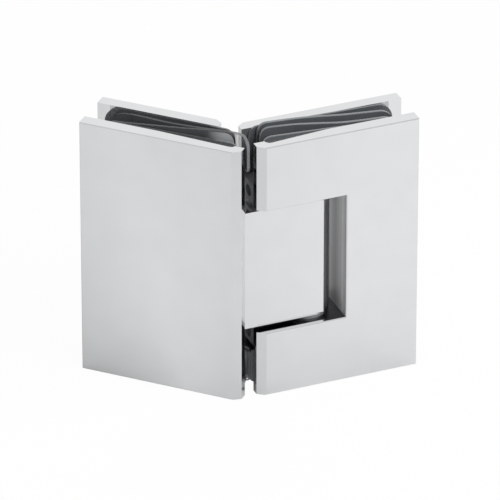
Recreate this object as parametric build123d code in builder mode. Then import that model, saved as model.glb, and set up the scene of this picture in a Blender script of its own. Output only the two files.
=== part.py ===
"""Glass-to-glass shower door hinge, 135 degrees, polished chrome on brass. Millimetres, +Z up.

Each leaf clamps a pane between a front and a back plate, with clear PVC gaskets in the gap.
The fixed leaf carries the pivot block. The door leaf is cut out round it and turns on a pin.
The hinge stands on the lower edges of its plates, over the middle of its bounding box.
"""

from math import cos, radians, sin
import os

from build123d import *

os.makedirs("parts", exist_ok=True)

# Leaves
leaf_angle = 22.5  # each leaf leans back by this much, which leaves 135 degrees between them
plate_height = 90.0
plate_width = 55.0
back_plate_width = 41.7  # the fixed leaf's back plate is short, to clear the inner corner
plate_thickness = 4.5
glass_gap = 10.0
fixed_overlap = 0.7  # the fixed front plate runs this far past the meeting of the two fronts
door_setback = 7.4  # the door plates start this far after it
bevel_along = 2.7  # bevel down the near end of each plate's outer face
bevel_deep = 1.9
edge_break = 0.3

# Cut-out in the door leaf, and the boss round it that fills the notch in the pane
cutout_height = 44.4
cutout_reach = 30.2
arm_height = 6.8  # above and below the cut-out
boss_wall = 7.0  # beyond it
fixed_boss_start = 8.4  # the fixed leaf's boss is as high, and starts this far from its near end
boss_corner = 2.0

# Pivot
block_thickness = 12.5
block_round = 7.1  # radius of its end about the pin, which meets its faces at an edge
block_end_gap = 2.7  # from the block's round end to the wall of the cut-out
block_gap = 1.2  # above and below the block, for the thrust washers
pin_radius = 4.0
pin_flat = 3.3  # flats for the detents, from the pin's axis
pin_short = 0.2  # the pin's ends lie this far inside the door's boss
running_gap = 0.05
seat_gap = 0.02

# Bushes, washers and the detent
bush_wall = 1.0
bush_length = 8.0
washer_radius = 6.0
detent_radius = 3.95
detent_nose = 4.35  # held this far from the pin's axis, just clear of the turning pin
detent_length = 7.0
detent_stem = 2.0
stem_length = 3.0
spring_length = 11.0  # as held between the detent and its plug
spring_radius = 2.9
spring_wire = 0.9  # square wire, as in a die spring
spring_turns = 3
plug_length = 4.5
plug_socket = 4.0  # across flats, as for the other sockets

# Fasteners
clamp_radius = 2.5  # M5, two through each leaf
clamp_head = 4.6
clamp_socket = 3.0
fixed_clamp_inset = 12.0  # from the boss's outer end
set_screw_radius = 2.0
set_screw_socket = 2.0
set_screw_length = 8.0
socket_depth = 2.0
thread_gap = 0.03
hole_gap = 0.2
plate_thread = 3.5  # depth of the blind threads in the fixed front plate
boss_thread = 8.0  # and of those in the door's boss

# Gaskets
thick_gasket = 1.4
thin_gasket = 0.9
gasket_short = 1.5  # a sheet is this much shorter than the plates
notch_room = 6.5  # its notch is this much taller than the boss
notch_gap = 0.4
gasket_corner = 3.0

stack = 2 * plate_thickness + glass_gap
inner_back = stack - plate_thickness  # depth of the back plates' inner faces
mid_height = plate_height / 2
boss_height = cutout_height + 2 * arm_height
boss_bottom = mid_height - boss_height / 2
boss_reach = cutout_reach + boss_wall
# A loose sheet stands proud of the plates by 1 mm for each 17.8 mm of its strip past the boss
gasket_lift = (plate_width - boss_reach) / 17.8
block_height = cutout_height - 2 * block_gap
block_bottom = mid_height - block_height / 2
arm_rise = (cutout_height + arm_height) / 2  # middle of each arm, from mid height
pin_reach = cutout_reach - block_end_gap - block_round
washer_thickness = block_gap - running_gap
bush_outer = pin_radius + running_gap + bush_wall
spring_end = detent_nose + detent_length + spring_length
fixed_tip = plate_thickness - plate_thread
door_tip = inner_back - boss_thread
across, back = cos(radians(leaf_angle)), sin(radians(leaf_angle))
bend_across, bend_back = cos(radians(2 * leaf_angle)), sin(radians(2 * leaf_angle))

# Both leaves are drawn in frames of their own, with the origin where the two front faces
# meet: x runs along the leaf, y into its depth. The origin is placed so that the whole
# stands centred on the world's.
fixed_outer = fixed_overlap - plate_width
fixed_back_near = fixed_outer + back_plate_width
door_outer = door_setback + plate_width
front_y = (bevel_along - fixed_overlap) * back
back_y = door_outer * back + stack * across
meeting = Vector(-(fixed_outer + door_outer) * across / 2, -(front_y + back_y) / 2, 0)
door_plan = Plane(origin=meeting, x_dir=(across, back, 0), z_dir=(0, 0, 1))
door_face = Plane(origin=meeting, x_dir=(across, back, 0), z_dir=(back, -across, 0))
fixed_plan = Plane(origin=meeting, x_dir=(across, -back, 0), z_dir=(0, 0, 1))
fixed_face = Plane(origin=meeting, x_dir=(across, -back, 0), z_dir=(-back, -across, 0))
pin_x = door_setback + pin_reach
pin_y = stack / 2
pin_foot = door_plan.from_local_coords(Vector(pin_x, pin_y, 0))
bores = Plane(origin=pin_foot, x_dir=(0, 0, 1), z_dir=(-across, -back, 0))


def spots(x, rise):
    """A pair of places in a leaf's elevation, above and below mid height."""
    return [(x, mid_height - rise), (x, mid_height + rise)]


fixed_spots = spots(fixed_overlap - boss_reach + fixed_clamp_inset, arm_rise)
door_spots = spots(door_setback + boss_reach - boss_wall / 2, arm_rise)
set_screw_spots = [(mid_height + way * arm_rise, 0) for way in (-1, 1)]


def save(piece, name):
    """Write one piece under its own name."""
    piece.part.label = name
    export_step(piece.part, f"parts/{name}.step")


def drill(face_plane, places, radius, start, end):
    """Cut round holes from one depth of the leaf to another."""
    with BuildSketch(face_plane.offset(-start)) as holes:
        with Locations(*places):
            Circle(radius)
    extrude(holes.sketch, amount=start - end, mode=Mode.SUBTRACT)


def countersink(face_plane, places):
    """Cut 90 degree countersinks into a leaf's back face."""
    with BuildSketch(face_plane.offset(-stack)) as rims:
        with Locations(*places):
            Circle(clamp_head + seat_gap)
    extrude(rims.sketch, amount=clamp_head - clamp_radius, taper=45, mode=Mode.SUBTRACT)


def plate_plan(near, outer, front):
    """Plan of one plate: its bevel is on the outer face, at the end nearest the pivot."""
    out = 1 if outer > near else -1
    show, hidden, inward = (0, plate_thickness, 1) if front else (stack, inner_back, -1)
    Polygon(
        (near + out * bevel_along, show),
        (outer, show),
        (outer, hidden),
        (near, hidden),
        (near, show + inward * bevel_deep),
        align=None,
    )


def break_edges(plate, face_plane, front):
    """Break the edges of a plate's show face, but not the one shared with its bevel."""
    normal = face_plane.z_dir if front else -face_plane.z_dir
    shows = plate.faces().filter_by(lambda face: face.normal_at().dot(normal) > 0.999)
    show = shows.sort_by(SortBy.AREA)[-1]
    bevels = plate.faces().filter_by(lambda face: 0.5 < face.normal_at().dot(normal) < 0.95)
    shared = [edge.center() for bevel in bevels for edge in bevel.edges()]
    rim = [e for e in show.edges() if all((e.center() - s).length > 0.01 for s in shared)]
    chamfer(rim, edge_break)


def clamp_screws(face_plane, places, tip):
    """A pair of countersunk socket screws, put in from the back."""
    with BuildPart() as pair:
        with BuildSketch(face_plane.offset(-stack)):
            with Locations(*places):
                Circle(clamp_head)
        extrude(amount=clamp_head - clamp_radius, taper=45)
        with BuildSketch(face_plane.offset(-stack)):
            with Locations(*places):
                Circle(clamp_radius)
        extrude(amount=stack - tip)
        with BuildSketch(face_plane.offset(-stack)):
            with Locations(*places):
                RegularPolygon(clamp_socket / 2, 6, major_radius=False)
        extrude(amount=socket_depth, mode=Mode.SUBTRACT)
    return pair


# Fixed leaf: plain plates
with BuildPart() as fixed_front_plate:
    with BuildSketch(fixed_plan):
        plate_plan(fixed_overlap, fixed_outer, True)
    extrude(amount=plate_height)
    break_edges(fixed_front_plate, fixed_face, True)
    drill(fixed_face, fixed_spots, clamp_radius + thread_gap, plate_thickness, fixed_tip)
save(fixed_front_plate, "fixed_front_plate")

with BuildPart() as fixed_back_plate:
    with BuildSketch(fixed_plan):
        plate_plan(fixed_back_near, fixed_outer, False)
    extrude(amount=plate_height)
    break_edges(fixed_back_plate, fixed_face, False)
    drill(fixed_face, fixed_spots, clamp_radius + hole_gap, stack, inner_back)
    countersink(fixed_face, fixed_spots)
save(fixed_back_plate, "fixed_back_plate")

# Pivot block: its boss fills the notch in the fixed pane, its neck turns into line with the
# door leaf and ends in the round that holds the pin
boss_near = fixed_overlap - fixed_boss_start
neck_end = boss_near * bend_across + plate_thickness * bend_back - seat_gap
with BuildPart() as pivot_block:
    with BuildSketch(fixed_face.offset(-inner_back)):
        with Locations((boss_near, mid_height)):
            Rectangle(boss_reach - fixed_boss_start, boss_height, align=(Align.MAX, Align.CENTER))
        fillet(vertices().sort_by(Axis.X)[:2], boss_corner)
    extrude(amount=glass_gap)
    with BuildSketch(door_plan.offset(block_bottom)):
        with Locations((pin_x, pin_y)):
            Rectangle(pin_x - neck_end, block_thickness, align=(Align.MAX, Align.CENTER))
            Circle(block_round)
            Rectangle(2 * plate_width, block_thickness, mode=Mode.INTERSECT)
    extrude(amount=block_height)
    with BuildSketch(fixed_plan):
        with Locations((0, plate_thickness)):
            Rectangle(2 * plate_width, stack, align=(Align.CENTER, Align.MAX))
    extrude(amount=plate_height, mode=Mode.SUBTRACT)
    with BuildSketch(door_plan.offset(block_bottom)):
        with Locations((pin_x, pin_y)):
            Circle(bush_outer + seat_gap)
    extrude(amount=block_height, mode=Mode.SUBTRACT)
    with BuildSketch(bores):
        with Locations((mid_height, 0)):
            Circle(detent_radius + running_gap)
    extrude(amount=2 * pin_reach, mode=Mode.SUBTRACT)
    drill(fixed_face, fixed_spots, clamp_radius + hole_gap, inner_back, plate_thickness)
save(pivot_block, "pivot_block")

# Door leaf: both plates are cut out round the pivot block, open at the near end, and the
# front plate carries the boss that holds the pin
with BuildPart() as door_front_plate:
    with BuildSketch(door_plan):
        plate_plan(door_setback, door_outer, True)
    extrude(amount=plate_height)
    with BuildSketch(door_face.offset(-inner_back)):
        with Locations((door_setback + edge_break, mid_height)):
            Rectangle(boss_reach - edge_break, boss_height, align=(Align.MIN, Align.CENTER))
        fillet(vertices().sort_by(Axis.X)[-2:], boss_corner)
    extrude(amount=glass_gap)
    with BuildSketch(door_face):
        with Locations((door_setback, mid_height)):
            Rectangle(cutout_reach, cutout_height, align=(Align.MIN, Align.CENTER))
    extrude(amount=-stack, mode=Mode.SUBTRACT)
    break_edges(door_front_plate, door_face, True)
    with BuildSketch(door_plan):
        with Locations((pin_x, pin_y)):
            Circle(pin_radius + seat_gap)
    extrude(amount=plate_height, mode=Mode.SUBTRACT)
    with BuildSketch(bores):
        with Locations(*set_screw_spots):
            Circle(set_screw_radius + thread_gap)
    extrude(amount=pin_reach, mode=Mode.SUBTRACT)
    drill(door_face, door_spots, clamp_radius + thread_gap, inner_back, door_tip)
save(door_front_plate, "door_front_plate")

with BuildPart() as door_back_plate:
    with BuildSketch(door_plan):
        plate_plan(door_setback, door_outer, False)
    extrude(amount=plate_height)
    with BuildSketch(door_face):
        with Locations((door_setback, mid_height)):
            Rectangle(cutout_reach, cutout_height, align=(Align.MIN, Align.CENTER))
    extrude(amount=-stack, mode=Mode.SUBTRACT)
    break_edges(door_back_plate, door_face, False)
    drill(door_face, door_spots, clamp_radius + hole_gap, stack, inner_back)
    countersink(door_face, door_spots)
save(door_back_plate, "door_back_plate")

# Pivot pin: round in its bushes and the door's boss, four flats between for the detents
with BuildPart() as pivot_pin:
    with BuildSketch(door_plan.offset(boss_bottom + pin_short)):
        with Locations((pin_x, pin_y)):
            Circle(pin_radius)
    extrude(amount=boss_height - 2 * pin_short)
    with BuildSketch(door_plan.offset(block_bottom + bush_length)):
        with Locations((pin_x, pin_y)):
            Circle(pin_radius + edge_break)
            Rectangle(2 * pin_flat, 2 * pin_flat, mode=Mode.SUBTRACT)
    extrude(amount=block_height - 2 * bush_length, mode=Mode.SUBTRACT)
save(pivot_pin, "pivot_pin")

with BuildPart() as pin_set_screws:
    with BuildSketch(bores.offset(pin_radius + seat_gap)):
        with Locations(*set_screw_spots):
            Circle(set_screw_radius)
    extrude(amount=set_screw_length)
    with BuildSketch(bores.offset(pin_radius + seat_gap + set_screw_length)):
        with Locations(*set_screw_spots):
            RegularPolygon(set_screw_socket / 2, 6, major_radius=False)
    extrude(amount=-socket_depth, mode=Mode.SUBTRACT)
save(pin_set_screws, "pin_set_screws")

# Bushes in the block and thrust washers on the door's arms
for level, way in (("upper", 1), ("lower", -1)):
    bush_mid = mid_height + way * (block_height - bush_length) / 2
    with BuildPart() as bush:
        with BuildSketch(door_plan.offset(bush_mid - bush_length / 2)):
            with Locations((pin_x, pin_y)):
                Circle(bush_outer)
                Circle(pin_radius + running_gap, mode=Mode.SUBTRACT)
        extrude(amount=bush_length)
    save(bush, f"bush_{level}")

    washer_mid = mid_height + way * (cutout_height - washer_thickness) / 2
    with BuildPart() as washer:
        with BuildSketch(door_plan.offset(washer_mid - washer_thickness / 2)):
            with Locations((pin_x, pin_y)):
                Circle(washer_radius)
                Circle(pin_radius + running_gap, mode=Mode.SUBTRACT)
        extrude(amount=washer_thickness)
    save(washer, f"thrust_washer_{level}")

# Sprung detent, in its bore along the neck, and the plug that holds its spring in
with BuildPart() as detent:
    with BuildSketch(bores.offset(detent_nose)):
        with Locations((mid_height, 0)):
            Circle(detent_radius)
    extrude(amount=detent_length)
    with BuildSketch(bores.offset(detent_nose + detent_length)):
        with Locations((mid_height, 0)):
            Circle(detent_stem)
    extrude(amount=stem_length)
save(detent, "detent")

coil_start = detent_nose + detent_length + spring_wire / 2 + seat_gap
coil_length = spring_end - spring_wire / 2 - seat_gap - coil_start
coil_centre = bores.offset(coil_start).from_local_coords(Vector(mid_height, 0))
coil_pitch = coil_length / spring_turns
with BuildPart() as detent_spring:
    with BuildLine() as coil:
        Helix(coil_pitch, coil_length, spring_radius, center=coil_centre, direction=bores.z_dir)
    wire_end = Plane(origin=coil.line @ 0, x_dir=bores.z_dir, z_dir=coil.line % 0)
    with BuildSketch(wire_end):
        Rectangle(spring_wire, spring_wire)
    sweep(path=coil.line, is_frenet=True)
save(detent_spring, "detent_spring")

with BuildPart() as spring_plug:
    with BuildSketch(bores.offset(spring_end)):
        with Locations((mid_height, 0)):
            Circle(detent_radius + running_gap - thread_gap)
    extrude(amount=plug_length)
    with BuildSketch(bores.offset(spring_end + plug_length)):
        with Locations((mid_height, 0)):
            RegularPolygon(plug_socket / 2, 6, major_radius=False)
    extrude(amount=-socket_depth, mode=Mode.SUBTRACT)
save(spring_plug, "spring_plug")

save(clamp_screws(fixed_face, fixed_spots, fixed_tip + seat_gap), "fixed_clamp_screws")
save(clamp_screws(door_face, door_spots, door_tip + seat_gap), "door_clamp_screws")


def gasket(on_door, thickness, near_rise, outer_rise, foot_swing, *track):
    """One PVC sheet: a band that waves through the glass gap in plan, cut to a C round the boss.

    The track's places are (distance from the leaf's near end, depth into the gap), as shares
    of the plate's width and of the gap. The rises are how far the top corners stand above the
    plates, and foot_swing is how far the foot of the near end swings out from square, both in
    gasket lifts.
    """
    plan, face = (door_plan, door_face) if on_door else (fixed_plan, fixed_face)
    near, way = (door_setback, 1) if on_door else (fixed_overlap, -1)
    line = [
        (near + way * plate_width * along, plate_thickness + glass_gap * deep)
        for along, deep in track
    ]
    height = plate_height - gasket_short
    notch = boss_height + notch_room
    tab = (height - notch) / 2
    near_top = Vector(line[0][0], plate_height + near_rise * gasket_lift)
    outer_top = Vector(line[-1][0], plate_height + outer_rise * gasket_lift)
    out = (outer_top - near_top).normalized()
    down = Vector(way * out.Y, -abs(out.X))
    foot = height * abs(out.Y)
    reach = near + way * (boss_reach + notch_gap) + way * foot
    inner = near_top + out * abs(reach - near_top.X)
    start = near_top - out * boss_reach
    swing = Vector(way * foot_swing * gasket_lift, 0)
    with BuildPart() as sheet:
        with BuildSketch(plan):
            with BuildLine():
                front = Spline(*[(x, y - thickness / 2) for x, y in line])
                rear = Spline(*[(x, y + thickness / 2) for x, y in line])
                Line(front @ 0, rear @ 0)
                Line(front @ 1, rear @ 1)
            make_face()
        extrude(amount=plate_height + 2 * gasket_corner)
        with BuildSketch(face):
            Polygon(
                near_top,
                outer_top,
                outer_top + down * height,
                near_top + down * height + swing,
                align=None,
            )
            fillet(vertices(), gasket_corner)
            Polygon(
                start + down * tab,
                inner + down * tab,
                inner + down * (height - tab),
                start + down * (height - tab),
                align=None,
                mode=Mode.SUBTRACT,
            )
        extrude(amount=-stack, mode=Mode.INTERSECT)
    return sheet


# Gaskets, two thick and two thin in each leaf, loose in the empty gap
thin_front = (thin_gasket / 2 + seat_gap) / glass_gap
thin_back = 1 - thin_front
gaskets = {
    "fixed_gasket_front": gasket(
        False, thin_gasket, 0.8, -0.4, 0,
        (0.024, thin_front), (0.455, thin_front), (0.880, thin_front),
    ),
    "fixed_gasket_middle_front": gasket(
        False, thick_gasket, 2.1, -1.0, 0,
        (0.098, 0.43), (0.242, 0.41), (0.333, 0.36), (0.455, 0.295), (0.618, 0.245),
        (0.764, 0.185), (0.891, 0.17),
    ),
    "fixed_gasket_middle_back": gasket(
        False, thick_gasket, 1.7, -0.8, 4.0,
        (-0.005, 0.23), (0.073, 0.56), (0.327, 0.56), (0.518, 0.59), (0.764, 0.77),
        (0.880, 0.73),
    ),
    "fixed_gasket_back": gasket(
        False, thin_gasket, 0.9, -0.2, 0,
        (0.135, thin_back), (0.518, thin_back), (0.913, thin_back),
    ),
    "door_gasket_front": gasket(
        True, thin_gasket, 1.3, -1.2, 0,
        (0.064, thin_front), (0.455, thin_front), (0.871, thin_front),
    ),
    "door_gasket_middle_front": gasket(
        True, thick_gasket, 1.3, -0.7, 0,
        (0.087, 0.64), (0.205, 0.61), (0.300, 0.56), (0.436, 0.4), (0.551, 0.25), (0.664, 0.19),
        (0.782, 0.172), (0.880, 0.172),
    ),
    "door_gasket_middle_back": gasket(
        True, thick_gasket, 2.1, -0.4, 0,
        (0.085, 0.825), (0.291, 0.825), (0.427, 0.77), (0.582, 0.65), (0.727, 0.59),
        (0.887, 0.54),
    ),
    "door_gasket_back": gasket(
        True, thin_gasket, 0.7, -0.3, 0,
        (0.040, thin_back), (0.484, thin_back), (0.904, thin_back),
    ),
}
for name, sheet in gaskets.items():
    save(sheet, name)
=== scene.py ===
"""Looks for a 135 degree glass-to-glass shower door hinge: polished chrome, clear PVC gaskets."""

import math

import bmesh
import bpy
from mathutils import Matrix, Vector


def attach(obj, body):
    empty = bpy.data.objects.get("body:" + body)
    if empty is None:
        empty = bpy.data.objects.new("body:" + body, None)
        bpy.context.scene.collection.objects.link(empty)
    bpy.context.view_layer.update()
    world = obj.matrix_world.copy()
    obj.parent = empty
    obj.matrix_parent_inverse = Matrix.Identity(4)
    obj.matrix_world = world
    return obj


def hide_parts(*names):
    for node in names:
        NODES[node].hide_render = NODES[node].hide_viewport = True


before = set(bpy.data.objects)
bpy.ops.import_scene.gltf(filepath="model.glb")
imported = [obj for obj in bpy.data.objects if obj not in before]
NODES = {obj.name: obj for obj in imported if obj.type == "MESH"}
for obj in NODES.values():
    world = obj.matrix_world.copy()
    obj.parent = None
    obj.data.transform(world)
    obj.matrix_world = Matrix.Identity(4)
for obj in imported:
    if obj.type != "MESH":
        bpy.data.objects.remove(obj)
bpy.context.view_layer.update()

bl_info = {
    "name": "Glass door hinge finishes",
    "version": (1, 0, 0),
    "blender": (4, 5, 0),
    "location": "View3D > Sidebar > Door hinge",
    "description": "Finishes and studio for a glass-to-glass shower door hinge",
    "category": "Object",
}

MM = 0.001

# The two leaves: how each is turned, and where its near end lies along it from the meeting
# line of the two front faces, as the hinge's own drawing has them
LEAF_ANGLE = math.radians(22.5)
MEETING = Vector((-3.742, -21.099, 0.0)) * MM
TURN = {"fixed_leaf": -LEAF_ANGLE, "door_leaf": LEAF_ANGLE}
WAY = {"fixed_leaf": -1, "door_leaf": 1}
NEAR = {"fixed_leaf": 0.7, "door_leaf": 7.4}

# Sizes from the drawing, in millimetres
PLATE_WIDTH, PLATE_HEIGHT, PLATE_THICKNESS, GLASS_GAP = 55.0, 90.0, 4.5, 10.0
STACK = 2 * PLATE_THICKNESS + GLASS_GAP
MID_HEIGHT = PLATE_HEIGHT / 2
CUTOUT_REACH, CUTOUT_HEIGHT = 30.2, 44.4
BOSS_REACH, BOSS_HEIGHT = 37.2, 58.0
NOTCH_ROOM, NOTCH_GAP = 6.5, 0.4
PIN, BLOCK_ROUND = Vector((18.307, -1.684, 0.0)) * MM, 7.1

# Clamp screws: CAD node, how far the pair stands in from the end of the boss, and length
CLAMP_RISE = 25.6
CLAMP_SCREWS = {
    "fixed_leaf": ("fixed_clamp_screws", 12.0, 17.9),
    "door_leaf": ("door_clamp_screws", 3.5, 12.4),
}


def leaf_frame(body):
    """Matrix from a leaf's own millimetres (along it, into its depth, up) to the scene."""
    return Matrix.Translation(MEETING) @ Matrix.Rotation(TURN[body], 4, "Z") @ Matrix.Scale(MM, 4)


# Materials


def linear(hex_colour):
    """An sRGB hex colour as linear RGBA."""
    channels = [int(hex_colour[i : i + 2], 16) / 255 for i in (1, 3, 5)]
    curve = [c / 12.92 if c <= 0.04045 else ((c + 0.055) / 1.055) ** 2.4 for c in channels]
    return (*curve, 1.0)


def node(tree, kind, inputs=(), **settings):
    """Add one node. Each input is fed by a socket, or set to a number or a hex colour."""
    made = tree.nodes.new(kind)
    for name, value in settings.items():
        setattr(made, name, value)
    for name, value in dict(inputs).items():
        if isinstance(value, bpy.types.NodeSocket):
            tree.links.new(value, made.inputs[name])
        else:
            made.inputs[name].default_value = linear(value) if isinstance(value, str) else value
    return made


def sum_of(tree, operation, *terms, clamp=False):
    """One step of arithmetic on sockets and numbers."""
    return node(
        tree, "ShaderNodeMath", dict(enumerate(terms)), operation=operation, use_clamp=clamp
    ).outputs[0]


def vector_sum(tree, operation, *terms):
    """One step of arithmetic on vectors."""
    return node(tree, "ShaderNodeVectorMath", dict(enumerate(terms)), operation=operation)


def close_to(tree, place, level, room):
    """1 where a place lies within some room of a level, in millimetres, and 0 elsewhere."""
    return sum_of(tree, "COMPARE", place, level * MM, room * MM)


def ramp(tree, value, start=0.0, end=1.0, low=0.0, high=1.0):
    """A value that runs from low to high while another runs from start to end."""
    limits = {"From Min": start, "From Max": end, "To Min": low, "To Max": high}
    return node(tree, "ShaderNodeMapRange", {"Value": value, **limits}).outputs["Result"]


def blend(tree, share, a, b, kind="RGBA"):
    """Mix two colours by a share, or two numbers where the kind is FLOAT."""
    mix = node(tree, "ShaderNodeMix", {"Factor": share, "A": a, "B": b}, data_type=kind)
    return mix.outputs["Result"]


def own_place(tree):
    """Each point's place on the object itself."""
    return node(tree, "ShaderNodeTexCoord").outputs["Object"]


def grain(tree, place, size, detail):
    """Noise of one grain size."""
    inputs = {"Vector": place, "Scale": 1 / size, "Detail": detail}
    return node(tree, "ShaderNodeTexNoise", inputs).outputs["Fac"]


def relief(tree, height, strength, rise):
    """Bumps that rise by so many millimetres."""
    inputs = {"Height": height, "Strength": strength, "Distance": rise * MM}
    return node(tree, "ShaderNodeBump", inputs).outputs["Normal"]


def shades(tree, share, stops):
    """A run of colours: (place, hex colour) pairs in order."""
    made = node(tree, "ShaderNodeValToRGB", {"Fac": share})
    elements = made.color_ramp.elements
    while len(elements) < len(stops):
        elements.new(1.0)
    for element, (place, colour) in zip(elements, stops):
        element.position = place
        element.color = linear(colour)
    return made.outputs["Color"]


def new_material(name):
    """An empty node material and its tree."""
    made = bpy.data.materials.new(name)
    made.use_nodes = True
    made.node_tree.nodes.clear()
    return made, made.node_tree


def finish_surface(tree, shader):
    """Send a shader to the material's output."""
    node(tree, "ShaderNodeOutputMaterial", {"Surface": shader})


def principled(tree, colour, roughness, normal, **others):
    """End a material in a principled shader."""
    inputs = {"Base Color": colour, "Roughness": roughness, "Normal": normal, **others}
    finish_surface(tree, node(tree, "ShaderNodeBsdfPrincipled", inputs).outputs["BSDF"])


# Chrome: how rough it is between its hairlines and along them, and its low waves
CHROME_ROUGHNESS = (0.035, 0.075)
HAIRLINE_CONTRAST = (0.35, 0.75)
HAIRLINE_STRETCH = (1.0, 1.0, 0.06)
WAVE_STRENGTH, WAVE_RISE = 0.12, 0.02

# Duller finishes: how rough each is and how metallic, where 1 is bright chrome
ROUND_ROUGHNESS = 0.3
WALL_ROUGHNESS, WALL_METAL = 0.4, 0.3
BOSS_ROUGHNESS, BOSS_METAL = 0.45, 0.25
INNER_ROUGHNESS, INNER_METAL = 0.42, 0.35

# The foot of the cut-out is painted grey and darkens with painted shade, and gets rougher, over a
# stretch
# before the cut-out's end, and the front edge of its covered part is left bright, out of the
# painted shade:
# colours, and distances in millimetres
FOOT_PAINTED_SHADE, FOOT_ROUGHNESS, FOOT_STRETCH = ("#A4A5A6", "#5C5D5E"), (0.12, 0.4), (14.0, 4.0)
STRIP_ROUGHNESS, STRIP_DEPTH, STRIP_STOP = 0.05, (1.3, 1.5), (8.0, 6.5)

# How close a point has to lie to a face to belong to it, and what isn't wall or boss, in
# millimetres: the break of the front edge, and the skin of each plate
FACE_ROOM, ROUND_ROOM = 0.03, 0.05
EDGE_BREAK, PLATE_SKIN = 0.31, 0.06

# The painted shade on the clamping faces sets in at the unshaded reach and is full at half as far
# again
INNER_SHADE_FADE = 1.5

# Painted shade and painted highlights on the cut-out's walls, from the front face to the back face,
# as shares of the depth
WALL_PAINTED_LIGHT = [
    (0.0, "#9A9B9C"),
    (0.05, "#D2D3D4"),
    (0.17, "#FAFBFC"),
    (0.3, "#E4E5E6"),
    (0.48, "#BCBDBE"),
    (0.61, "#C6C7C8"),
    (0.7, "#DEDFE0"),
    (0.78, "#8A8B8C"),
]


def turned_end(tree, place):
    """1 on the block's turned end round the pin, on the side that faces the cut-out."""
    offset = vector_sum(tree, "SUBTRACT", place, PIN).outputs["Vector"]
    flat = vector_sum(tree, "MULTIPLY", offset, (1, 1, 0)).outputs["Vector"]
    distance = vector_sum(tree, "LENGTH", flat).outputs["Value"]
    along_door = (math.cos(LEAF_ANGLE), math.sin(LEAF_ANGLE), 0)
    ahead = vector_sum(tree, "DOT_PRODUCT", flat, along_door).outputs["Value"]
    on_round = close_to(tree, distance, BLOCK_ROUND, ROUND_ROOM)
    return sum_of(tree, "MULTIPLY", on_round, sum_of(tree, "GREATER_THAN", ahead, 0.0))


def place_in_leaf(tree, place, body):
    """How far along a leaf, into its depth and up each point lies."""
    turn = -TURN[body]
    mapping = {
        "Vector": place,
        "Location": -(Matrix.Rotation(turn, 3, "Z") @ MEETING),
        "Rotation": (0, 0, turn),
    }
    in_leaf = node(tree, "ShaderNodeMapping", mapping).outputs["Vector"]
    return node(tree, "ShaderNodeSeparateXYZ", {"Vector": in_leaf}).outputs


def shaded_inner_faces(tree, along, depth, body, sizes):
    """1 on the faces that clamp the glass, further in than the unshaded reach: where shade is
    painted on them.
    """
    front = close_to(tree, depth, PLATE_THICKNESS, FACE_ROOM)
    back = close_to(tree, depth, PLATE_THICKNESS + GLASS_GAP, FACE_ROOM)
    clamping = sum_of(tree, "MAXIMUM", front, back)
    outer_end = (NEAR[body] + WAY[body] * PLATE_WIDTH) * MM
    inward = sum_of(tree, "ABSOLUTE", sum_of(tree, "SUBTRACT", along, outer_end))
    reached = ramp(tree, inward, sizes.unshaded_reach, INNER_SHADE_FADE * sizes.unshaded_reach)
    return sum_of(tree, "MULTIPLY", clamping, reached)


def in_cut_out(tree, along, up, body):
    """1 within the cut-out's outline, with its walls."""
    short = sum_of(tree, "LESS_THAN", along, (NEAR[body] + CUTOUT_REACH + FACE_ROOM) * MM)
    low = close_to(tree, up, MID_HEIGHT, CUTOUT_HEIGHT / 2 + FACE_ROOM)
    return sum_of(tree, "MULTIPLY", short, low)


def foot_shade_and_roughness(tree, along, depth, body, sizes):
    """Painted shade and roughness of the cut-out's foot."""
    end = NEAR[body] + CUTOUT_REACH
    start, stop = (end - before for before in FOOT_STRETCH)
    # Painted shade: the foot darkens towards the cut-out's end, and its front strip keeps the
    # bright chrome colour
    darkened = ramp(tree, along, start * MM, stop * MM)
    strip_start, strip_stop = (end - before for before in STRIP_STOP)
    in_front = ramp(tree, depth, STRIP_DEPTH[0] * MM, STRIP_DEPTH[1] * MM, 1.0, 0.0)
    covered = ramp(tree, along, strip_start * MM, strip_stop * MM, 1.0, 0.0)
    strip = sum_of(tree, "MULTIPLY", in_front, covered)
    colour = blend(tree, strip, blend(tree, darkened, *FOOT_PAINTED_SHADE), sizes.chrome_light)
    roughness = blend(tree, darkened, *FOOT_ROUGHNESS, "FLOAT")
    return colour, blend(tree, strip, roughness, STRIP_ROUGHNESS, "FLOAT")


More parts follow.
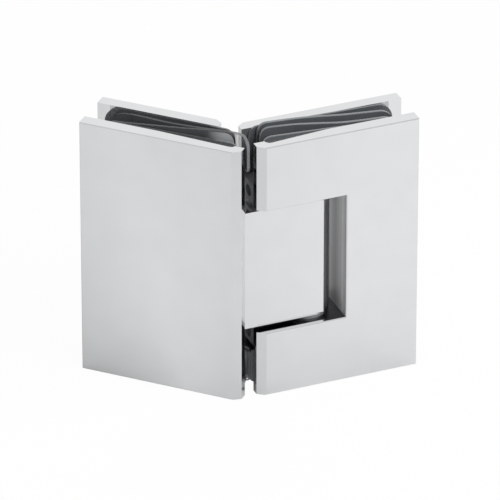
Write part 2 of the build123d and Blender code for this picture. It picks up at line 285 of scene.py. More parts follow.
def polished_chrome(name, sizes, body=None, cut_out=False):
    """Bright chrome plate, buffed by hand over brass: a leaf's plates, or the pivot block.

    It mirrors its surroundings almost cleanly. Buffing leaves a long, very low waviness that
    bends reflections a little, and faint hairlines that soften them along one direction. The
    faces that clamp the glass are duller further in from their outer ends, and painted greyer
    there with the shade in the gap; the milled bosses between them are duller still, and painted
    grey with that shade too. Inside the milled cut-out the plate is satin, with painted shade and
    painted highlights on its walls and painted shade on its foot, and the block's turned end,
    which faces the cut-out, is satin and painted darker with shade.
    cut-out the plate is satin, and so is the block's turned end, which faces the cut-out.
    """
    material, tree = new_material(name)
    place = own_place(tree)
    waviness = grain(tree, place, sizes.waviness, 1.0)
    stretch = {"Vector": place, "Scale": HAIRLINE_STRETCH}
    stretched = node(tree, "ShaderNodeMapping", stretch).outputs["Vector"]
    hairlines = grain(tree, stretched, sizes.hairline, 3.0)
    roughness = ramp(tree, hairlines, *HAIRLINE_CONTRAST, *CHROME_ROUGHNESS)
    colour = blend(tree, waviness, sizes.chrome_dark, sizes.chrome_light)
    normal = relief(tree, waviness, WAVE_STRENGTH, WAVE_RISE)
    if not body:
        # Painted shade: the block's turned end, facing the cut-out, is painted darker, and made
        # rougher
        end = turned_end(tree, place)
        colour = blend(tree, end, colour, sizes.round_end_painted_shade)
        roughness = blend(tree, end, roughness, ROUND_ROUGHNESS, "FLOAT")
        principled(tree, colour, roughness, normal, Metallic=1.0)
        return material

    along, depth, up = place_in_leaf(tree, place, body)
    inner_shade = shaded_inner_faces(tree, along, depth, body, sizes)
    boss = close_to(tree, depth, STACK / 2, GLASS_GAP / 2 - PLATE_SKIN)
    if cut_out:
        inside = in_cut_out(tree, along, up, body)
        behind_edge = sum_of(tree, "GREATER_THAN", depth, EDGE_BREAK * MM)
        wall = sum_of(tree, "MULTIPLY", inside, behind_edge)
        at_foot = close_to(tree, up, MID_HEIGHT - CUTOUT_HEIGHT / 2, FACE_ROOM)
        foot = sum_of(tree, "MULTIPLY", at_foot, wall)
        # Painted shade on the cut-out's foot, darker where the block covers it
        foot_shade, foot_roughness = foot_shade_and_roughness(tree, along, depth, body, sizes)
        # Painted light: the walls' colour changes with depth into painted shade and painted
        # highlights
        shade = shades(tree, ramp(tree, depth, 0.0, STACK * MM), WALL_PAINTED_LIGHT)
        colour = blend(tree, foot, blend(tree, wall, colour, shade), foot_shade)
        roughness = blend(tree, wall, roughness, WALL_ROUGHNESS, "FLOAT")
        roughness = blend(tree, foot, roughness, foot_roughness, "FLOAT")
        boss = sum_of(tree, "SUBTRACT", boss, inside, clamp=True)
    # Painted shade: the milled bosses in the gap are painted grey, and made rougher and less
    # metallic
    colour = blend(tree, boss, colour, sizes.boss_painted_shade)
    roughness = blend(tree, boss, roughness, BOSS_ROUGHNESS, "FLOAT")
    # Painted shade: further in, the clamping faces are painted darker with the shade in the gap,
    # and made rougher and less metallic
    colour = blend(tree, inner_shade, colour, sizes.inner_painted_shade)
    roughness = blend(tree, inner_shade, roughness, INNER_ROUGHNESS, "FLOAT")
    metal = blend(tree, inner_shade, 1.0, INNER_METAL, "FLOAT")
    metal = blend(tree, boss, metal, BOSS_METAL, "FLOAT")
    if cut_out:
        upright = sum_of(tree, "SUBTRACT", wall, foot)
        metal = blend(tree, upright, metal, WALL_METAL, "FLOAT")
    principled(tree, colour, roughness, normal, Metallic=metal)
    return material


# PVC: how rough it is, how much it hides where it is smoky and where it is clear, its ripples
# and its refraction
PVC_ROUGHNESS = (0.1, 0.24)
SMOKY, CLEAR = 0.85, 0.1
RIPPLE_STRENGTH, RIPPLE_RISE = 0.25, 0.1
PVC_IOR = 1.53


def clear_pvc(sizes):
    """Clear soft PVC sheet, calendered and die cut.

    A stack of it looks smoky, because little light comes back out between the plates, and this
    shade is painted into its colour as a smoky grey. Light that travels inside the sheet leaves at
    the cut edges, so where these are lit they look paler and milky: this is painted light on the
    edges, set by where light falls, and edges left unlit get painted shade. Two near ends in the
    open light are painted pale. Values stored on each sheet's points say where.
    """
    material, tree = new_material("clear_soft_pvc")
    ripple = grain(tree, own_place(tree), sizes.pvc_ripple, 2.0)
    lit_rim, pale, shade, clear = (
        node(tree, "ShaderNodeAttribute", attribute_name=name).outputs["Fac"]
        for name in ("lit_rim", "pale", "shade", "clear")
    )
    # Painted shade: the sheet's body is painted smoky grey for the shade between the plates
    colour = blend(tree, ripple, sizes.pvc_dark, sizes.pvc_light)
    # Painted light: lit cut edges are painted paler
    colour = blend(tree, lit_rim, colour, sizes.pvc_edge_light)
    # Painted light: the near ends in the open light are painted pale
    colour = blend(tree, pale, colour, sizes.pvc_lit_end)
    # Painted shade: unlit cut edges are painted dark
    colour = blend(tree, shade, sizes.pvc_shade, colour)
    hidden = blend(tree, lit_rim, ramp(tree, clear, low=SMOKY, high=CLEAR), SMOKY, "FLOAT")
    low, high = PVC_ROUGHNESS
    principled(
        tree,
        colour,
        ramp(tree, ripple, low=low, high=high),
        relief(tree, ripple, RIPPLE_STRENGTH, RIPPLE_RISE),
        Alpha=hidden,
        IOR=PVC_IOR,
    )
    return material


def mottled(name, size, detail, colours, roughness, strength, rise, **others):
    """A plain finish, with one grain in its colour, roughness and relief."""
    material, tree = new_material(name)
    fleck = grain(tree, own_place(tree), size, detail)
    low, high = roughness
    principled(
        tree,
        blend(tree, fleck, *colours),
        ramp(tree, fleck, low=low, high=high),
        relief(tree, fleck, strength, rise),
        **others,
    )
    return material


def turned_steel(sizes):
    """Plain stainless steel, turned and passivated: grey, with fine marks from the lathe."""
    return mottled(
        "turned_stainless_steel",
        size=sizes.steel_grain,
        detail=3.0,
        colours=("#A5A6A6", "#BDBDBC"),
        roughness=(0.16, 0.34),
        strength=0.2,
        rise=0.03,
        Metallic=1.0,
    )


def grey_acetal(sizes):
    """Satin moulded acetal: waxy, with a faint mottle from the mould."""
    return mottled(
        "grey_acetal",
        size=sizes.acetal_mottle,
        detail=2.0,
        colours=("#7E7F80", "#8C8D8E"),
        roughness=(0.34, 0.5),
        strength=0.2,
        rise=0.05,
        IOR=1.48,
    )


# Meshes


def new_piece(name, mesh, material, body, *nodes, slot):
    """A finished piece: its place is in its mesh, and it stands for CAD nodes on a body."""
    mesh.materials.clear()
    mesh.materials.append(material)
    piece = bpy.data.objects.new(name, mesh)
    bpy.context.scene.collection.objects.link(piece)
    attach(piece, body)
    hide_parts(*nodes)
    return piece


def baked(piece):
    """The mesh that an object's modifiers give it, in plain faces."""
    bpy.context.view_layer.update()
    evaluated = piece.evaluated_get(bpy.context.evaluated_depsgraph_get())
    return bpy.data.meshes.new_from_object(evaluated)


def smooth_path(points):
    """A function of the distance along a leaf: the depth of a smooth curve through points."""
    points = sorted(points)
    slopes = []
    for i in range(len(points)):
        before, after = points[max(i - 1, 0)], points[min(i + 1, len(points) - 1)]
        slopes.append((after[1] - before[1]) / (after[0] - before[0]))

    def depth(x):
        i = 0
        while i < len(points) - 2 and x > points[i + 1][0]:
            i += 1
        (x0, y0), (x1, y1) = points[i], points[i + 1]
        span = x1 - x0
        t = (x - x0) / span
        if t < 0:
            return y0 + (x - x0) * slopes[i]
        if t > 1:
            return y1 + (x - x1) * slopes[i + 1]
        return (
            (2 * t**3 - 3 * t**2 + 1) * y0
            + (t**3 - 2 * t**2 + t) * span * slopes[i]
            + (3 * t**2 - 2 * t**3) * y1
            + (t**3 - t**2) * span * slopes[i + 1]
        )

    return depth


def ruled(stops, step):
    """Lines between stops, about a step apart."""
    lines = [stops[0]]
    for a, b in zip(stops, stops[1:]):
        count = max(1, round((b - a) / step))
        lines += [a + (b - a) * (i + 1) / count for i in range(count)]
    return lines


# How far round a corner a point starts to move, with room for rounding
AT_START = 1.0001


def round_corner(u, v, corner_u, corner_v, side_u, side_v, radius):
    """Pull a point near a square corner in, so that the corner becomes a quarter round."""
    a = 1 - side_u * (u - corner_u) / radius
    b = 1 - side_v * (v - corner_v) / radius
    if not (0 < a <= AT_START and 0 < b <= AT_START):
        return u, v
    pulled_a, pulled_b = a * math.sqrt(1 - b * b / 2), b * math.sqrt(1 - a * a / 2)
    return corner_u + side_u * radius * (1 - pulled_a), corner_v + side_v * radius * (1 - pulled_b)


# A sheet's mesh: the step of its grid, the strip along its edges, and how its sway goes down it
# and along it, in millimetres
GRID_STEP, RIM = 1.5, 0.2
SWAY_DOWN, SWAY_ALONG = 13, 17
TRIM = 0.01

# A sheet's soft edge: its radius as a share of the thickness, and the least angle it rounds
SOFT_EDGE, SOFT_SEGMENTS, SOFT_ANGLE = 0.22, 3, math.radians(55)

# How light falls on the sheets, painted into their colour. The door leaf's cut edges are painted
# lit from above down to a height, the fixed leaf's only near their ends, and all fade over a few
# millimetres. Edges without light stay dark with painted shade. Two sheets have a near end in the
# open
# light: one is painted pale there, with darker edges, and one is clear
LIT_FROM = {"fixed_leaf": 60.0, "door_leaf": 81.0}
EDGE_LIGHT = {"fixed_leaf": 0.0, "door_leaf": 1.0}
NEAR_END_REACH, LIGHT_FADE = 9.0, 5.0
NEAR_END_LIGHT, LEAST_LIGHT = 0.6, 0.15
UNLIT, UNLIT_SHADE = 0.1, 0.15
PALE_ENDS = {"fixed_gasket_middle_front": 1.0, "fixed_gasket_middle_back": 0.3}
CLEAR_ENDS = {"fixed_gasket_middle_front": 0.3, "fixed_gasket_middle_back": 1.0}


def light_sheet(sheet, name, body, near_x):
    """Say at each point how lit, pale, clear and unshaded the sheet is painted there."""
    pale_end, clear_end = PALE_ENDS.get(name, 0.0), CLEAR_ENDS.get(name, 0.0)
    lit_rim, pale, clear, shade = (
        sheet.verts.layers.float.new(layer) for layer in ("lit_rim", "pale", "clear", "shade")
    )
    into_leaf = leaf_frame(body).inverted()
    for vert in sheet.verts:
        along, _, up = into_leaf @ vert.co
        near_end = max(0.0, min(1.0, (NEAR_END_REACH - abs(along - near_x)) / LIGHT_FADE))
        lit = max(LEAST_LIGHT, min(1.0, (up - LIT_FROM[body]) / LIGHT_FADE))
        if vert.is_boundary:
            light = lit * max(EDGE_LIGHT[body], NEAR_END_LIGHT * near_end)
            vert[lit_rim] = light if pale_end < 1 else 0.0
            vert[pale], vert[clear] = 0.0, 0.0
            vert[shade] = UNLIT_SHADE if vert[lit_rim] < UNLIT else 1.0
        else:
            vert[lit_rim] = 0.0
            vert[pale], vert[clear] = pale_end * near_end, clear_end * near_end
            vert[shade] = 1.0


def thickened(sheet, name, thickness, sizes):
    """A mesh of a flat sheet's thickness, with soft edges."""
    mesh = bpy.data.meshes.new(name)
    sheet.to_mesh(mesh)
    sheet.free()
    mesh.shade_smooth()
    flat = bpy.data.objects.new(name + "_flat", mesh)
    bpy.context.scene.collection.objects.link(flat)
    solidify = flat.modifiers.new("thickness", "SOLIDIFY")
    solidify.thickness = sizes.gasket_share * thickness * MM
    solidify.offset = 0
    bevel = flat.modifiers.new("soft_edges", "BEVEL")
    bevel.width = SOFT_EDGE * thickness * MM
    bevel.segments = SOFT_SEGMENTS
    bevel.limit_method = "ANGLE"
    bevel.angle_limit = SOFT_ANGLE
    made = baked(flat)
    made.name = name
    bpy.data.objects.remove(flat)
    return made


def gasket_mesh(name, body, thickness, near_rise, outer_rise, foot_swing, track, sizes):
    """A loose gasket: a C-shaped sheet that waves through the gap, with soft cut edges."""
    near, way = NEAR[body], WAY[body]
    points = [(near + way * PLATE_WIDTH * a, PLATE_THICKNESS + GLASS_GAP * b) for a, b in track]
    depth_at = smooth_path(points)
    near_top = Vector((points[0][0], PLATE_HEIGHT + near_rise))
    outer_top = Vector((points[-1][0], PLATE_HEIGHT + outer_rise))
    out = (outer_top - near_top).normalized()
    down = Vector((way * out.y, -abs(out.x)))
    length = (outer_top - near_top).length + sizes.gasket_reach / MM
    height = PLATE_HEIGHT - sizes.gasket_short / MM
    tab = (height - BOSS_HEIGHT - NOTCH_ROOM) / 2
    reach = near + way * (BOSS_REACH + NOTCH_GAP + height * abs(out.y))
    notch = abs(reach - near_top.x)
    corner, wide = sizes.gasket_corner / MM, sizes.gasket_outer_corner / MM
    across = ruled(
        [0, RIM, corner, notch, notch + RIM, length - wide, length - RIM, length], GRID_STEP
    )
    foot_tab = height - tab
    upright = ruled(
        [0, RIM, wide, tab - RIM, tab]
        + [foot_tab, foot_tab + RIM, height - wide, height - RIM, height],
        GRID_STEP,
    )
    corners = [
        (0, 0, 1, 1, corner),
        (length, 0, -1, 1, wide),
        (0, height, 1, -1, corner),
        (length, height, -1, -1, wide),
        (0, tab, 1, -1, corner / 2),
        (0, foot_tab, 1, 1, corner / 2),
    ]
    place = leaf_frame(body)
    sway = sizes.gasket_sway / MM
    sheet = bmesh.new()
    grid = {}
    for i, u in enumerate(across):
        for j, v in enumerate(upright):
            if u < notch - TRIM and tab + TRIM < v < foot_tab - TRIM:
                continue
            a, b = u, v
            for rounded in corners:
                a, b = round_corner(a, b, *rounded)
            swing = way * foot_swing * b / height * max(0.0, 1 - a / notch)
            spot = near_top + out * a + down * b
            x = spot.x + swing
            depth = depth_at(x) + sway * math.sin(b / SWAY_DOWN + a / SWAY_ALONG + length)
            grid[i, j] = sheet.verts.new(place @ Vector((x, depth, spot.y)))
    for i in range(len(across) - 1):
        for j in range(len(upright) - 1):
            ring = [grid.get(key) for key in ((i, j), (i + 1, j), (i + 1, j + 1), (i, j + 1))]
            hole = across[i] < notch - TRIM and tab - TRIM < upright[j] < foot_tab - TRIM
            if None not in ring and not hole:
                sheet.faces.new(ring)
    for loose in [v for v in sheet.verts if not v.link_faces]:
        sheet.verts.remove(loose)
    bmesh.ops.recalc_face_normals(sheet, faces=sheet.faces)
    light_sheet(sheet, name, body, points[0][0])
    return thickened(sheet, name + "_sheet", thickness, sizes)


# Each gasket: body, thickness, rises of its top corners above the plates, swing of its foot,
# and its track as shares of the plate's width and of the gap. They are as the hinge's drawing
# has them, but for a few near ends and rises that hang a little differently
THIN, THICK = 0.9, 1.4
FRONT, REAR = 0.047, 0.953
GASKETS = {
    "fixed_gasket_front": (
        "fixed_leaf", THIN, 0.8, -0.4, 0,
        ((0.04, FRONT), (0.455, FRONT), (0.880, FRONT)),
    ),
    "fixed_gasket_middle_front": (
        "fixed_leaf", THICK, 2.09, -1.0, 0,
        (
            (0.098, 0.43), (0.242, 0.41), (0.333, 0.36), (0.455, 0.295), (0.618, 0.245),
            (0.764, 0.185), (0.891, 0.17),
        ),
    ),
    "fixed_gasket_middle_back": (
        "fixed_leaf", THICK, 1.7, -0.8, 4.0,
        (
            (-0.005, 0.23), (0.073, 0.56), (0.327, 0.56), (0.518, 0.59), (0.764, 0.77),
            (0.880, 0.73),
        ),
    ),
    "fixed_gasket_back": (
        "fixed_leaf", THIN, 0.0, -0.2, 0,
        ((0.135, REAR), (0.518, REAR), (0.913, REAR)),
    ),
    "door_gasket_front": (
        "door_leaf", THIN, 1.3, -1.2, 0,
        ((0.058, FRONT), (0.455, FRONT), (0.871, FRONT)),
    ),
    "door_gasket_middle_front": (
        "door_leaf", THICK, 1.3, -0.7, 0,
        (
            (0.087, 0.64), (0.205, 0.61), (0.300, 0.56), (0.436, 0.4), (0.551, 0.25),
            (0.664, 0.19), (0.782, 0.172), (0.880, 0.172),
        ),
    ),
    "door_gasket_middle_back": (
        "door_leaf", THICK, 2.09, -0.4, 0,
        (
            (0.085, 0.825), (0.291, 0.825), (0.427, 0.77), (0.582, 0.65), (0.727, 0.59),
            (0.887, 0.54),
        ),
    ),
    "door_gasket_back": (
        "door_leaf", THIN, 0.7, -0.3, 0,
        ((0.040, REAR), (0.484, REAR), (0.904, REAR)),
    ),
}


# A screw: the sides of its rounds, the cone in its socket in millimetres, and the least angle
# that shows as an edge
SCREW_SIDES, SOCKET_CONE, SHARP_ANGLE = 48, 0.4, math.radians(30)


def screw_mesh(body, length, sizes):
    """A countersunk screw with a hex socket, its head's face at the origin and turned outwards."""
    head, shank, flats = (
        size / 2 / MM for size in (sizes.screw_head, sizes.screw_size, sizes.screw_socket)
    )
    # Each ring, from the socket's floor to the tip: hexagonal or not, its radius and its level
    loops = [
        (True, flats, -2.0),
        (True, flats, -0.15),
        (True, flats + 0.15, 0.0),
        (False, head - 0.35, 0.0),
        (False, head - 0.15, -0.06),
        (False, head - 0.08, -0.2),
        (False, shank, shank - head),
        (False, shank, -length + 0.6),
        (False, shank - 0.5, -length),
    ]
    screw = bmesh.new()
    rings = []
    for hexagonal, radius, level in loops:
        ring = []
        for k in range(SCREW_SIDES):
            angle = 2 * math.pi * k / SCREW_SIDES
            part = (angle % (math.pi / 3)) - math.pi / 6
            reach = radius / math.cos(part) if hexagonal else radius
            ring.append(screw.verts.new((reach * math.cos(angle), reach * math.sin(angle), level)))
        rings.append(ring)
    for a, b in zip(rings, rings[1:]):
        for k in range(SCREW_SIDES):
            screw.faces.new((a[k], a[(k + 1) % SCREW_SIDES], b[(k + 1) % SCREW_SIDES], b[k]))
    for ring, level in ((rings[0], loops[0][2] - SOCKET_CONE), (rings[-1], loops[-1][2])):
        middle = screw.verts.new((0, 0, level))
        for k in range(SCREW_SIDES):
            screw.faces.new((ring[k], ring[(k + 1) % SCREW_SIDES], middle))
    bmesh.ops.recalc_face_normals(screw, faces=screw.faces)
    backward = Matrix.Rotation(TURN[body], 4, "Z") @ Matrix.Rotation(-math.pi / 2, 4, "X")
    screw.transform(backward @ Matrix.Scale(MM, 4))
    mesh = bpy.data.meshes.new("screw")
    screw.to_mesh(mesh)
    screw.free()
    return mesh


def screw_row_tree():
    """Geometry nodes: a row of screws, with the screw, its first place, the step and the count."""
    tree = bpy.data.node_groups.new("screw_row", "GeometryNodeTree")
    tree.interface.new_socket(name="Geometry", in_out="OUTPUT", socket_type="NodeSocketGeometry")
    kinds = {
        "Screw": "NodeSocketObject",
        "First place": "NodeSocketVector",
        "Step": "NodeSocketVector",
        "Count": "NodeSocketInt",
        "Finish": "NodeSocketMaterial",
    }
    named = {
        name: tree.interface.new_socket(name=name, in_out="INPUT", socket_type=kind).identifier
        for name, kind in kinds.items()
    }
    given = node(tree, "NodeGroupInput")
    row = node(
        tree,
        "GeometryNodeMeshLine",
        {
            "Count": given.outputs["Count"],
            "Start Location": given.outputs["First place"],
            "Offset": given.outputs["Step"],
        },
        mode="OFFSET",
    )
    screw = node(tree, "GeometryNodeObjectInfo", {"Object": given.outputs["Screw"]})
    placed = node(
        tree,
        "GeometryNodeInstanceOnPoints",
        {"Points": row.outputs["Mesh"], "Instance": screw.outputs["Geometry"]},
    )
    real = node(tree, "GeometryNodeRealizeInstances", {"Geometry": placed.outputs["Instances"]})
    finished = node(
        tree,
        "GeometryNodeSetMaterial",
        {"Geometry": real.outputs["Geometry"], "Material": given.outputs["Finish"]},
    )
    node(tree, "NodeGroupOutput", {"Geometry": finished.outputs["Geometry"]})
    return tree, named


def length_setting(name, description, millimetres):
    """A size that can be set, in metres."""
    return bpy.props.FloatProperty(
        name=name, description=description, default=millimetres * MM, unit="LENGTH"
    )


def colour_setting(name, default, description="sRGB hex"):
    """A colour that can be set."""
    return bpy.props.StringProperty(name=name, description=description, default=default)


class HingeSizes(bpy.types.PropertyGroup):
    """Sizes and colours of the finishes, with the painted light and shade."""

    waviness: length_setting(
        "Buffing waviness", "Distance between the low waves that buffing leaves in the chrome", 9
    )
    hairline: length_setting(
        "Hairline spacing", "Spacing of the polishing hairlines, drawn coarse enough to show", 0.35
    )
    chrome_dark: colour_setting("Chrome, darker", "#E3E4E5")
    chrome_light: colour_setting("Chrome, lighter", "#E9EAEB")
    # Painted shade on the clamping faces further in
    inner_painted_shade: colour_setting("Painted shade, clamping faces", "#6A6C6E")
    # Painted shade on the milled bosses in the gap
    boss_painted_shade: colour_setting("Painted shade, milled bosses", "#A2A4A6")
    # Painted shade on the block's turned end
    round_end_painted_shade: colour_setting(
        "Painted shade, block's round end", "#8E8F90", "Painted shade on the block's turned end, sRGB hex"
    )
    unshaded_reach: length_setting(
        "Unshaded reach",
        "How far in from the outer ends the faces that clamp the glass stay out of the painted shade",
        7,
    )
    # The sheets' body, painted smoky grey with the shade between the plates
    pvc_dark: colour_setting("PVC, darker", "#4E5154")
    pvc_light: colour_setting("PVC, lighter", "#636669")
    # Painted light on the lit cut edges
    pvc_edge_light: colour_setting("PVC painted edge light", "#85888B")
    pvc_shade: colour_setting("PVC shaded edge", "#141618")
    # Painted light on the near ends in the open light
    pvc_lit_end: colour_setting("PVC painted light, near ends", "#DCDEE0")
    pvc_ripple: length_setting("PVC ripple", "Distance between the soft ripples in the gaskets", 7)
    gasket_short: length_setting(
        "Gasket shortness", "How much shorter than the plates a gasket is", 1.5
    )
    gasket_share: bpy.props.FloatProperty(
        name="Gasket thickness share",
        description="How thick a gasket is between its soft edges, as a share of its room",
        default=0.75,
    )
    gasket_corner: length_setting("Gasket corner", "Radius of a gasket's corners", 3)
    gasket_outer_corner: length_setting(
        "Gasket outer corner", "Radius of a gasket's two corners furthest from the pivot", 5.5
    )
    gasket_reach: length_setting(
        "Gasket reach", "How much further out than its drawn track a gasket reaches", 2.0
    )
    gasket_sway: length_setting(
        "Gasket sway", "How far a loose gasket sways to either side on its way down", 0.06
    )
    steel_grain: length_setting("Steel grain", "Distance between the lathe marks in the steel", 0.4)
    acetal_mottle: length_setting(
        "Acetal mottle", "Size of the mottle in the moulded washers and bushes", 1.2
    )
    screw_head: length_setting("Screw head", "Diameter of a clamp screw's head", 9.2)
    screw_size: length_setting("Screw size", "Diameter of a clamp screw", 5)
    screw_socket: length_setting("Screw socket", "Socket of a clamp screw, across flats", 3)


def paint(names, material):
    """Put one material on every slot of some CAD nodes."""
    for name in names:
        for slot in NODES[name].material_slots:
            slot.material = material


class HINGE_OT_chrome(bpy.types.Operator):
    """Give the plates and the pivot block their chrome"""

    bl_idname = "hinge.chrome"
    bl_label = "Chrome the plates"

    def execute(self, context):
        sizes = context.scene.hinge_sizes
        fixed = polished_chrome("polished_chrome_fixed_plates", sizes, "fixed_leaf")
        door = polished_chrome("polished_chrome_door_plates", sizes, "door_leaf", cut_out=True)
        block = polished_chrome("polished_chrome_block", sizes)
        paint(["fixed_front_plate", "fixed_back_plate"], fixed)
        paint(["door_front_plate", "door_back_plate"], door)
        paint(["pivot_block"], block)
        return {"FINISHED"}


class HINGE_OT_pivot(bpy.types.Operator):
    """Finish the pin, its screws, bushes, washers and the sprung detent"""

    bl_idname = "hinge.pivot"
    bl_label = "Finish the pivot"

    def execute(self, context):
        sizes = context.scene.hinge_sizes
        paint(["pivot_pin", "pin_set_screws", "spring_plug", "detent_spring"], turned_steel(sizes))
        paint(
            ["bush_upper", "bush_lower", "thrust_washer_upper", "thrust_washer_lower", "detent"],
            grey_acetal(sizes),
        )
        return {"FINISHED"}


class HINGE_OT_gaskets(bpy.types.Operator):
    """Lay the loose PVC gaskets in the two gaps"""

    bl_idname = "hinge.gaskets"
    bl_label = "Lay the gaskets"

    def execute(self, context):
        sizes = context.scene.hinge_sizes
        pvc = clear_pvc(sizes)
        for name, (body, *shape) in GASKETS.items():
            mesh = gasket_mesh(name, body, *shape, sizes)
            new_piece(name + "_sheet", mesh, pvc, body, name, slot="pvc")
        return {"FINISHED"}


class HINGE_OT_screws(bpy.types.Operator):
    """Put the clamp screws in from the back"""

    bl_idname = "hinge.screws"
    bl_label = "Put in the clamp screws"

    def execute(self, context):
        sizes = context.scene.hinge_sizes
        steel = turned_steel(sizes)
        tree, named = screw_row_tree()
        for body, (replaced, inset, length) in CLAMP_SCREWS.items():
            along = NEAR[body] + WAY[body] * (BOSS_REACH - inset)
            screw = bpy.data.objects.new("screw", screw_mesh(body, length, sizes))
            holder = bpy.data.objects.new(replaced + "_row", bpy.data.meshes.new("row"))
            context.scene.collection.objects.link(screw)
            context.scene.collection.objects.link(holder)
            modifier = holder.modifiers.new("row", "NODES")
            modifier.node_group = tree
            first = leaf_frame(body) @ Vector((along, STACK, MID_HEIGHT - CLAMP_RISE))
            modifier[named["Screw"]] = screw
            modifier[named["First place"]] = first
            modifier[named["Step"]] = (0, 0, 2 * CLAMP_RISE * MM)
            modifier[named["Count"]] = 2
            modifier[named["Finish"]] = steel
            mesh = baked(holder)
            mesh.shade_smooth()
            mesh.set_sharp_from_angle(angle=SHARP_ANGLE)
            bpy.data.objects.remove(holder)
            bpy.data.objects.remove(screw)
            new_piece(replaced + "_pair", mesh, steel, body, replaced, slot="steel")
        return {"FINISHED"}


# Studio

WHITE = "#FFFFFF"

# The world: full where it is seen or mirrored first, dimmer where that comes after matt
# surfaces, and greyer overhead in reflections, between two heights
AFTER_MATT = 0.2
CEILING, OVERHEAD = (0.38, 0.8), 0.7

# The paper: how it glows to the camera, how far it reaches, and the distances from the hinge
# between which its near painted shade changes into its far painted shade, in metres
PAPER_GLOW = 0.965
FLOOR_REACH = 6.0
SHADES_MEET = (0.03, 0.19)

# Painted shade on the paper, which the plates mirror: (turn round the hinge as a share from -X,
# colour)
NEAR_PAINTED_SHADE = [
    (0.0, "#CACACA"),
    (0.1, "#EFEFEF"),
    (0.18, "#E3E3E3"),
    (0.25, "#E3E3E3"),
    (0.32, "#EDEDED"),
    (0.4, "#F3F3F3"),
    (0.6, "#F3F3F3"),
    (0.8, "#E6E6E6"),
    (0.9, "#E0E0E0"),
    (1.0, "#CACACA"),
]
FAR_PAINTED_SHADE = [
    (0.0, "#CACACA"),
    (0.1, "#ECECEC"),
    (0.18, "#DADADA"),
    (0.25, "#CECECE"),
    (0.32, "#D2D2D2"),
    (0.4, "#E4E4E4"),
    (0.6, "#E4E4E4"),
    (0.8, "#E6E6E6"),
    (0.9, "#E0E0E0"),
    (1.0, "#CACACA"),
]

LAMP_SIZE, LAMP_POWER = 0.7, 9.0
LAMP_PLACE, LAMP_AIM = (0.62, -0.55, 0.75), Vector((0.0, 0.0, 0.03))

CAMERA_LENS, CAMERA_SENSOR = 486.8, 36
CAMERA_PLACE = (0.007483, -1.88516, 1.09993)
CAMERA_DIP, CAMERA_PAN = 0.51072, 0.00385
CAMERA_NEAR, CAMERA_FAR = 0.05, 20


def white_world():
    """An even white all round."""
    world = bpy.data.worlds.new("white_studio")
    world.use_nodes = True
    tree = world.node_tree
    tree.nodes.clear()
    path = node(tree, "ShaderNodeLightPath").outputs
    seen = sum_of(tree, "ADD", path["Is Camera Ray"], path["Is Glossy Ray"])
    seen = sum_of(tree, "ADD", seen, path["Is Transmission Ray"], clamp=True)
    first = sum_of(tree, "LESS_THAN", path["Diffuse Depth"], 0.5)
    shown = sum_of(tree, "MULTIPLY", seen, first)
    after_matt = sum_of(tree, "SUBTRACT", seen, shown)
    change = sum_of(tree, "SUBTRACT", shown, after_matt)
    level = ramp(tree, change, -1.0, 1.0, AFTER_MATT, 1.0)
    way = node(tree, "ShaderNodeTexCoord").outputs["Generated"]
    height = node(tree, "ShaderNodeSeparateXYZ", {"Vector": way}).outputs["Z"]
    ceiling = ramp(tree, height, *CEILING, 1.0, OVERHEAD)
    tone = blend(tree, path["Is Glossy Ray"], 1.0, ceiling, "FLOAT")
    strength = sum_of(tree, "MULTIPLY", level, tone)
    white = node(tree, "ShaderNodeBackground", {"Strength": strength, "Color": WHITE})
    node(tree, "ShaderNodeOutputWorld", {"Surface": white.outputs["Background"]})
    return world


def white_paper():
    """Matt white paper with painted shade, greyer in some directions, that the camera sees as
    almost white.
    """
    paper, tree = new_material("matt_white_paper")
    place = own_place(tree)
    gradient = node(tree, "ShaderNodeTexGradient", {"Vector": place}, gradient_type="RADIAL")
    turn = gradient.outputs["Fac"]
    away = vector_sum(tree, "LENGTH", place).outputs["Value"]
    far = ramp(tree, away, *SHADES_MEET)
    # Painted shade: the paper's colour is greyer by direction round the hinge, for the shade its
    # reflections show
    shade = blend(tree, far, shades(tree, turn, NEAR_PAINTED_SHADE), shades(tree, turn, FAR_PAINTED_SHADE))
    matt = node(tree, "ShaderNodeBsdfDiffuse", {"Color": shade}).outputs["BSDF"]
    glow = node(tree, "ShaderNodeEmission", {"Color": WHITE, "Strength": 1.0}).outputs["Emission"]
    seen = node(tree, "ShaderNodeLightPath").outputs["Is Camera Ray"]
    share = sum_of(tree, "MULTIPLY", seen, PAPER_GLOW)
    mixed = node(tree, "ShaderNodeMixShader", {0: share, 1: matt, 2: glow})
    finish_surface(tree, mixed.outputs["Shader"])
    return paper


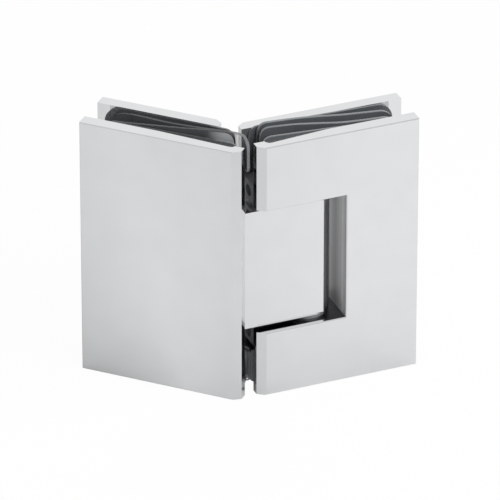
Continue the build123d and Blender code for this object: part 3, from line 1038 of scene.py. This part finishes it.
class HINGE_OT_studio(bpy.types.Operator):
    """Build the white studio: world, floor, lamp and camera"""

    bl_idname = "hinge.studio"
    bl_label = "Build the studio"

    def execute(self, context):
        scene = context.scene
        scene.world = white_world()

        r = FLOOR_REACH
        floor_mesh = bpy.data.meshes.new("floor")
        corners = [(-r, -r, 0), (r, -r, 0), (r, r, 0), (-r, r, 0)]
        floor_mesh.from_pydata(corners, [], [(0, 1, 2, 3)])
        floor_mesh.materials.append(white_paper())
        floor = bpy.data.objects.new("floor", floor_mesh)
        scene.collection.objects.link(floor)

        lamp_data = bpy.data.lights.new("key", "AREA")
        lamp_data.shape = "DISK"
        lamp_data.size = LAMP_SIZE
        lamp_data.energy = LAMP_POWER
        lamp = bpy.data.objects.new("key", lamp_data)
        lamp.location = LAMP_PLACE
        lamp.rotation_euler = (LAMP_AIM - lamp.location).to_track_quat("-Z", "Y").to_euler()
        lamp.visible_glossy = False
        scene.collection.objects.link(lamp)

        data = bpy.data.cameras.new("camera")
        data.lens = CAMERA_LENS
        data.sensor_width = CAMERA_SENSOR
        data.clip_start = CAMERA_NEAR
        data.clip_end = CAMERA_FAR
        camera = bpy.data.objects.new("camera", data)
        camera.location = CAMERA_PLACE
        camera.rotation_euler = (math.pi / 2 - CAMERA_DIP, 0, CAMERA_PAN)
        scene.collection.objects.link(camera)
        scene.camera = camera
        scene.view_settings.view_transform = "Standard"
        return {"FINISHED"}


class HINGE_PT_panel(bpy.types.Panel):
    """Door hinge steps and sizes"""

    bl_label = "Door hinge"
    bl_space_type = "VIEW_3D"
    bl_region_type = "UI"
    bl_category = "Door hinge"

    def draw(self, context):
        for step in OPERATORS:
            self.layout.operator(step.bl_idname)
        for name in HingeSizes.__annotations__:
            self.layout.prop(context.scene.hinge_sizes, name)


OPERATORS = (HINGE_OT_chrome, HINGE_OT_pivot, HINGE_OT_gaskets, HINGE_OT_screws, HINGE_OT_studio)
CLASSES = (HingeSizes, *OPERATORS, HINGE_PT_panel)


def register():
    for cls in CLASSES:
        bpy.utils.register_class(cls)
    bpy.types.Scene.hinge_sizes = bpy.props.PointerProperty(type=HingeSizes)


def unregister():
    del bpy.types.Scene.hinge_sizes
    for cls in reversed(CLASSES):
        bpy.utils.unregister_class(cls)


def main():
    """Register and build everything in order."""
    register()
    bpy.ops.hinge.chrome()
    bpy.ops.hinge.pivot()
    bpy.ops.hinge.gaskets()
    bpy.ops.hinge.screws()
    bpy.ops.hinge.studio()


if __name__ == "__main__":
    main()
